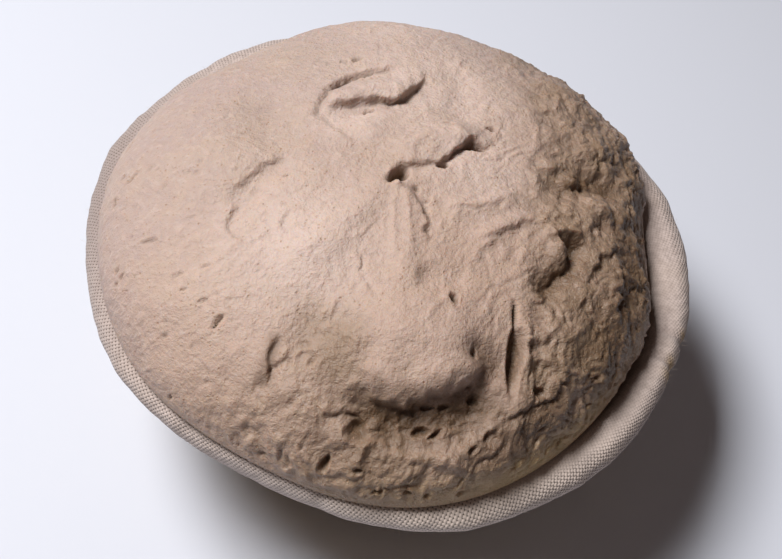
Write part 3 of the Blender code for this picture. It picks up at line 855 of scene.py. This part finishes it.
def streaks(x, y, degrees, across, along, seed):
    # Noise drawn out along a direction.
    turn = radians(degrees)
    u, v = x * cos(turn) + y * sin(turn), y * cos(turn) - x * sin(turn)
    return gradientNoise(u / (along * mm), v / (across * mm), 1.0, seed)


def patches(x, y, cell, seed):
    # Slow noise between 0.35 and 1, so that no texture runs on evenly.
    return 0.35 + 0.65 * smoothStep(-0.3, 0.35, gradientNoise(x, y, cell * mm, seed))


def bent(x, y, slow, quick):
    # The places moved by a slow and a quick noise; each: cell, reach in millimetres, two seeds.
    slowCell, slowReach, slowX, slowY = slow
    quickCell, quickReach, quickX, quickY = quick
    moveX = (gradientNoise(x, y, slowCell * mm, slowX) * slowReach
             + gradientNoise(x, y, quickCell * mm, quickX) * quickReach)
    moveY = (gradientNoise(x, y, slowCell * mm, slowY) * slowReach
             + gradientNoise(x, y, quickCell * mm, quickY) * quickReach)
    return x + moveX * mm, y + moveY * mm


def crags(x, y):
    # Lumps 2.7|n| - 1.1 with creases between them, strands 0.5 - 1.5|n| down the slope and small
    # folds |n| - 0.3, all bent by slower noise and each strong in patches only.
    bendX, bendY = bent(x, y, (13, 5, 31, 32), (5, 1.6, 38, 39))
    broad = gradientNoise(x, y, 15 * mm, 36) * 1.4
    lumps = 2.7 * soften(gradientNoise(bendX, bendY, 9.5 * mm, 33), 0.1) - 1.1
    strands = 0.5 - soften(streaks(bendX, bendY, 98, 5.0, 10.0, 34), 0.08) * 1.5
    small = soften(streaks(bendX, bendY, 70, 3.0, 5.0, 35), 0.1) - 0.3
    grain = gradientNoise(bendX, bendY, 1.6 * mm, 37) * 0.24
    return (broad + lumps * patches(x, y, 21, 51) + strands * patches(x, y, 17, 52)
            + small * patches(x, y, 11, 53) + grain) * mm * 1.15


def wrinkles(x, y):
    # Fine folds drawn out along the skin's stretch, each strong in patches only.
    bendX, bendY = bent(x, y, (17, 7, 44, 45), (6, 2, 49, 50))
    return ((soften(streaks(bendX, bendY, 52, 5.5, 11.0, 46), 0.1) - 0.3) * patches(x, y, 14, 54)
            + (soften(streaks(bendX, bendY, 38, 2.6, 5.0, 47), 0.1) - 0.25) * 0.5 * patches(x, y, 9, 55)
            + gradientNoise(bendX, bendY, 1.6 * mm, 48) * 0.16) * mm * 1.35


def scatter(skin, count, seed, sizes, depth, wanted):
    # Seeded small pits where wanted(x, y) is high, longer one way than the other.
    draw = np.random.default_rng(seed)
    made = 0
    while made < count:
        x, y = draw.uniform(-122, 122, 2)
        if np.hypot(x, y) > 120 or draw.uniform() > wanted(x * mm, y * mm):
            continue
        size = draw.uniform(*sizes)
        slim = draw.uniform(0.35, 0.9)
        turn = 50 + draw.uniform(-45, 45)
        skin.hole(x, y, size, size * slim, turn, depth * size * draw.uniform(0.5, 1.0), 0.06 * size)
        made += 1


def doughMaterial():
    material, shader, wire = newMaterial("dough")
    place = wire.make("ShaderNodeTexCoord", output=3)
    crag, paintedShade, paintedGlow, paintedLight = (wire.attribute(name) for name in ("crag", "paintedShade", "paintedGlow", "paintedLight"))
    broad = wire.noise(place, 28.0, 4.0, 0.6)
    fine = wire.noise(place, 900.0, 3.0, 0.6)
    curd = wire.noise(place, 340.0, 3.0, 0.55, 0.4)
    blotch = wire.noise(place, 150.0, 4.0, 0.65, 0.5)
    base = broad.step(0.35, 0.65).blend((0.412, 0.311, 0.277), (0.435, 0.329, 0.273))
    parts = wire.make("ShaderNodeSeparateXYZ", None, {0: place})
    # painted shade tint: warmer towards the front right
    paintedWarmShade = (parts - parts.other(1)).step(-0.08, 0.07)
    base = (paintedWarmShade * 0.8).blend(base, (0.455, 0.315, 0.243))
    # painted light: brighter spots on the skin
    base = paintedLight.blend(base, (0.56, 0.432, 0.375))
    base = (blotch.step(0.48, 0.7) * (0.25 + crag * 0.3)).blend(base, (0.51, 0.375, 0.275))
    base = ((1.0 - curd.step(0.32, 0.5)) * 0.3).blend(base, (0.39, 0.285, 0.24))
    base = (curd.step(0.52, 0.7) * 0.3).blend(base, (0.56, 0.44, 0.39))
    # deeper brown on the crags of the right and front: partly the crumb's own colour, partly painted
    # shade
    base = (crag * (0.55 + 0.4 * broad.step(0.4, 0.6))).blend(base, (0.25, 0.168, 0.108))
    # painted shade in tears, sunk places and on the shaded flanks
    base = (paintedShade * (0.68 + 0.28 * curd.step(0.35, 0.6))).blend(base, (0.12, 0.07, 0.037))
    # painted glow: golden colour on the shaded front-right edge
    base = (paintedGlow * 0.8).blend(base, (0.50, 0.345, 0.16))
    cells = wire.make("ShaderNodeTexVoronoi", None, {"Vector": place, "Scale": 620.0})
    chosen = wire.make("ShaderNodeSeparateXYZ", None, {0: cells.other(1)})
    speck = (1.0 - cells.step(0.06, 0.32)) * chosen.step(0.45, 0.7) * blotch.step(0.35, 0.6)
    base = (speck * 0.6).blend(base, (0.36, 0.20, 0.11))
    height = fine * 0.42 + curd * 0.55 + blotch * (0.6 + crag * 0.6) - speck * 0.2
    bump = wire.make("ShaderNodeBump", None, {"Strength": 0.85, "Distance": 1.5 * mm, "Height": height})
    feed(wire.tree, shader, Base_Color=base, Roughness=0.55 + broad * 0.1 - crag * 0.2, Normal=bump,
         Specular_IOR_Level=0.35, Subsurface_Weight=0.35, Subsurface_Scale=0.004,
         Subsurface_Radius=(1.0, 0.55, 0.3))
    return material


def skinGrid():
    # Square rings become round rings, r = max(|u|, |v|), and the unit disc z is then drawn
    # towards c by (z + c) / (1 + conj(c) z), which keeps its edge a circle, and then gathered
    # about the folds and tears.
    steps = np.linspace(-1.0, 1.0, dough["grid"] + 1)
    u, v = np.meshgrid(steps, steps, indexing="ij")
    wide = np.abs(u) > np.abs(v)
    safeU, safeV = np.where(u == 0, 1, u), np.where(v == 0, 1, v)
    radius = np.where(wide, u, v)
    angle = np.where(wide, pi / 4 * v / safeU, pi / 2 - pi / 4 * u / safeV)
    z = radius * np.exp(1j * angle)
    lean = complex(*dough["lean"])
    z = (z + lean) / (1 + lean.conjugate() * z)
    for x, y, size, pull in dough["finer"]:
        centre = complex(x, y)
        z = z + pull * (centre - z) * np.exp(-(np.abs(z - centre) / size) ** 2) * (1 - np.abs(z) ** 8)
    return z


def paintedGlowAt(x, y, length):
    # 1 on the edge that gets a painted golden glow: a ring near the widest line times exp(-(away /
    # width)^2) in bearing.
    edge = smoothStep(length - dough["goldFrom"], length - dough["goldFull"], np.hypot(x, y))
    bearing = np.degrees(np.arctan2(y, x))
    return edge * np.exp(-(((bearing - dough["goldBearing"]) / dough["goldWidth"]) ** 2))


def shapeSkin(skin, crag):
    # Broad forms, crags and wrinkles, folds, holes and pits; gives the broad forms' own height.
    x, y = skin.x, skin.y
    for points, width, height in forms.values():
        skin.form(points, width, height)
    big = skin.height.copy()
    skin.height += crags(x, y) * crag + wrinkles(x, y) * wrinkleAt(x, y)
    calm = gradientNoise(x, y, 26 * mm, 41) * 0.8 + gradientNoise(x, y, 9 * mm, 42) * 0.3
    skin.height += calm * mm
    for fold in folds.values():
        skin.fold(*fold)
    for hole in holes.values():
        skin.hole(*hole)
    scatter(skin, *dough["craggyPits"], cragAt)
    scatter(skin, *dough["evenPits"], lambda px, py: dough["evenShare"])
    scatter(skin, *dough["leftPits"], lambda px, py: 1 - smoothStep(-50 * mm, -20 * mm, px))
    return big


def paintedShadeAt(skin, big):
    # 1 where shade is painted: inside tears, in sunk places and in the named patches.
    x, y = skin.x, skin.y
    paintedShade = np.maximum(skin.paintedTearShade, smoothStep(0.6 * mm, 4.5 * mm, -(skin.height - 0.6 * big)))
    uneven = 1 + 0.5 * gradientNoise(x, y, 5 * mm, 64)
    for points, width, strength in paintedShadePatches.values():
        away = lineField(x, y, points)[0] / (width * mm)
        paintedShade = np.maximum(paintedShade, strength * np.exp(-(away * uneven) ** 2))
    return paintedShade


def doughSkirt(angle, linerRows):
    # Rows in under the widest line by a quarter of an ellipse, then down the liner to its floor.
    rowR = np.array([np.max(row[0]) for row in linerRows])
    rowZ = np.array([row[1][0] for row in linerRows])
    crest = int(np.argmax(rowZ))
    edge, contact = doughEdge(angle)
    rings = []
    for part in dough["tuckParts"]:
        turn = part * pi / 2
        radius = edge + (reach(angle) - edge) * cos(turn)
        height = dough["level"] + (contact - dough["level"]) * sin(turn)
        rings.append(ringPlaces(radius, angle, height))
    hidden = slice(crest, -1, dough["hiddenEvery"])
    for order, (radius, height) in enumerate(zip(rowR[hidden], rowZ[hidden]), start=1):
        inside = np.minimum(edge - order * dough["stepIn"], radius - dough["gap"])
        rings.append(ringPlaces(inside, angle, np.full_like(edge, height + dough["gap"])))
    return np.array(rings)


def makeDough(linerRows):
    z = skinGrid()
    length = domeLine()[1][-1]
    skin = Skin(z.real.ravel() * length, z.imag.ravel() * length)
    x, y = skin.x, skin.y
    paintedGlow = paintedGlowAt(x, y, length)
    crag = cragAt(x, y) * (1 - dough["goldCalm"] * paintedGlow)
    big = shapeSkin(skin, crag)
    paintedShade = paintedShadeAt(skin, big)
    fade = 1 - smoothStep(length - dough["fade"], length, np.hypot(x, y))
    places = domePlace(x + skin.slideX, y + skin.slideY)
    places += domeNormal(x, y) * (skin.height * fade)[:, None]

    count = dough["grid"]
    index = np.arange((count + 1) ** 2).reshape(count + 1, count + 1)
    border = np.concatenate([index[:-1, 0], index[-1, :-1], index[:0:-1, -1], index[0, :0:-1]])
    skirt = doughSkirt(np.arctan2(places[border, 1], places[border, 0]), linerRows)
    rowCount, rim = skirt.shape[:2]
    start = len(places)
    pole = start + rowCount * rim
    rings = np.vstack([border, np.arange(start, pole).reshape(rowCount, rim)])
    cells = [index[:-1, :-1], index[1:, :-1], index[1:, 1:], index[:-1, 1:]]
    faces = np.stack(cells, axis=-1).reshape(-1, 4).tolist()
    faces += bandQuads(rings)[:, [0, 3, 2, 1]].tolist()
    faces += list(zip(rings[-1].tolist(), [pole] * rim, np.roll(rings[-1], -1).tolist()))
    bottom = [[0.0, 0.0, linerRows[-1][1][0] + dough["gap"]]]
    points = np.vstack([places, skirt.reshape(-1, 3), bottom])
    item = meshObject("dough_skin", points, faces, doughMaterial())
    # painted light: brighter spots on the skin
    paintedLight = np.zeros_like(x)
    for centreX, centreY, size, strength in dough["paintedLightSpots"]:
        away = np.hypot(x - centreX * mm, y - centreY * mm) / (size * mm)
        paintedLight = np.maximum(paintedLight, strength * np.exp(-away ** 2))
    # crag colour, painted light, painted shade and painted glow, each with its value on the hidden side
    finishesAndPaintedLight = {"paintedLight": (paintedLight, 0.0), "crag": (crag, 1.0), "paintedShade": (paintedShade, 0.0),
                "paintedGlow": (paintedGlow, dough["goldUnder"])}
    for name, (values, under) in finishesAndPaintedLight.items():
        pointValue(item, name, np.append(values, np.full(len(points) - start, under)))
    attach(item, "root")
    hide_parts("dough")
    return item


# Cane basket

basket = {
    "sides": 12,
    "step": 4.0 * mm,
    "centre": 6.0 * mm,         # where the coil starts in the middle of the base
    "taper": 30.0 * mm,         # length over which the cane's ends thin down
    "leastShare": 0.02,         # of the cane's section at its very ends
}


def caneMaterial():
    material, shader, wire = newMaterial("cane")
    along = wire.make("ShaderNodeUVMap", {"uv_map": "along"})
    stretched = wire.make("ShaderNodeMapping", None, {"Vector": along, "Scale": (14.0, 900.0, 1.0)})
    streak = wire.noise(stretched, 1.0, 4.0, 0.6)
    place = wire.make("ShaderNodeTexCoord", output=3)
    patch = wire.noise(place, 22.0, 3.0)
    base = streak.step(0.3, 0.7).blend((0.40, 0.27, 0.145), (0.62, 0.46, 0.28))
    base = (patch.step(0.4, 0.7) * 0.4).blend(base, (0.50, 0.36, 0.20))
    bump = wire.make("ShaderNodeBump", None, {"Strength": 0.5, "Distance": 0.3 * mm, "Height": streak})
    feed(wire.tree, shader, Base_Color=base, Roughness=0.55 + streak * 0.2, Normal=bump)
    return material


def makeBasket():
    # One round cane along r(w), z(w), w = pitch (turns - 1) down the bowl's line; its thickness
    # goes with sqrt(share of the taper) at both ends.
    radius, height = bowlLine()
    length = lineLength(radius, height)
    last = np.interp(-basket["centre"], -radius, length)
    turns = last / bowl["cane"] + 1
    fineTurn = np.linspace(0.0, turns, 4000)
    down = np.clip(fineTurn - 1, 0, None) * bowl["cane"]
    lineR, lineZ = np.interp(down, length, radius), np.interp(down, length, height)
    path = ringPlaces(lineR, fineTurn * 2 * pi, lineZ)
    run = np.append(0.0, np.cumsum(np.linalg.norm(np.diff(path, axis=0), axis=1)))
    count = int(run[-1] / basket["step"])
    at = np.linspace(0.0, run[-1], count)
    path = np.stack([np.interp(at, run, path[:, axis]) for axis in range(3)], axis=-1)
    ends = np.minimum(at, run[-1] - at) / basket["taper"]
    thick = bowl["half"] * np.sqrt(np.clip(ends, basket["leastShare"], 1))
    sides = basket["sides"]
    tube = tubeGrid(path, (0.0, 0.0, 1.0), thick, sides)
    index = np.arange(count * sides).reshape(count, sides)
    quads = bandQuads(index)
    faces = quads.tolist() + [index[0][::-1].tolist(), index[-1].tolist()]
    item = meshObject("basket_cane", tube.reshape(-1, 3), faces, caneMaterial())
    # metres along and round the cane; a quad over the seam counts on to a full turn
    corners = cornerPoints(item)
    column = (corners % sides).astype(float)
    around = column[:quads.size].reshape(-1, 4)
    around[(around == 0) & (around.max(axis=1, keepdims=True) == sides - 1)] = sides
    alongMap(item, np.stack([at[corners // sides], column / sides * 2 * pi * bowl["half"]], axis=-1))
    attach(item, "root")
    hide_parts("basket")
    return item


# Floor, light and camera

stage = {
    "floor": (0.66, 0.685, 0.76),
    "floorHalf": 2.0,
    "keyFrom": (181.0, 60.0),   # bearing and elevation of the window in degrees
    "keyAway": 1.3,
    "keyAim": 0.08,             # height that the window's middle is aimed at
    "keySize": (0.62, 0.40),
    "keyPower": 24.0,
    "keyColor": (1.0, 0.99, 0.985),
    "sky": (1.0, 0.80, 0.74),
    "skyStrength": 0.075,
}
view = {
    # a focal length of 1300 pixels in a frame 782 pixels wide, on a sensor in millimetres
    "focal": 1300,
    "frameWidth": 782,
    "sensor": 36,
    "elevation": 52.1,
    "roll": 14.0,
    "away": 486.5 * mm,
    "aim": (1.1 * mm, -15.3 * mm, 80.0 * mm),
}


def makeStage():
    material, shader, wire = newMaterial("floor")
    feed(wire.tree, shader, Base_Color=(*stage["floor"], 1.0), Roughness=0.6, Specular_IOR_Level=0.2)
    half = stage["floorHalf"]
    corners = np.array([(-half, -half, 0), (half, -half, 0), (half, half, 0), (-half, half, 0)])
    floor = meshObject("floor", corners, [(0, 1, 2, 3)], material)
    world = bpy.data.worlds.new("sky")
    world.use_nodes = True
    sky = world.node_tree.nodes["Background"].inputs
    sky["Color"].default_value = (*stage["sky"], 1.0)
    sky["Strength"].default_value = stage["skyStrength"]
    bpy.context.scene.world = world
    data = bpy.data.lights.new("key", "AREA")
    data.shape = "RECTANGLE"
    data.size, data.size_y = stage["keySize"]
    data.energy = stage["keyPower"]
    data.color = stage["keyColor"]
    lamp = bpy.data.objects.new("key", data)
    turn, rise = (radians(value) for value in stage["keyFrom"])
    direction = Vector((cos(rise) * cos(turn), cos(rise) * sin(turn), sin(rise)))
    lamp.location = direction * stage["keyAway"] + Vector((0, 0, stage["keyAim"]))
    lamp.rotation_mode = "QUATERNION"
    lamp.rotation_quaternion = direction.to_track_quat("Z", "Y")
    bpy.context.collection.objects.link(lamp)
    bpy.context.scene.view_settings.view_transform = "Standard"


def makeCamera():
    data = bpy.data.cameras.new("camera")
    data.lens = view["focal"] / view["frameWidth"] * view["sensor"]
    data.sensor_width = view["sensor"]
    data.clip_start = 0.01
    camera = bpy.data.objects.new("camera", data)
    tilt = radians(view["elevation"])
    back = Vector((0.0, -cos(tilt), sin(tilt)))
    camera.location = Vector(view["aim"]) + back * view["away"]
    camera.rotation_mode = "QUATERNION"
    roll = Quaternion((0, 0, 1), radians(view["roll"]))
    camera.rotation_quaternion = (-back).to_track_quat("-Z", "Y") @ roll
    bpy.context.collection.objects.link(camera)
    bpy.context.scene.camera = camera


makeStage()
makeCamera()
print("stage and camera made")
cloth, clothRows = makeLiner()
print("liner made,", len(cloth.data.vertices), "points")
fibres = makeFuzz(fibreMaterial(), clothRows)
print("loose fibres made,", len(fibres.data.vertices), "points")
loaf = makeDough(clothRows)
print("dough made,", len(loaf.data.vertices), "points")
cane = makeBasket()
print("basket made,", len(cane.data.vertices), "points")
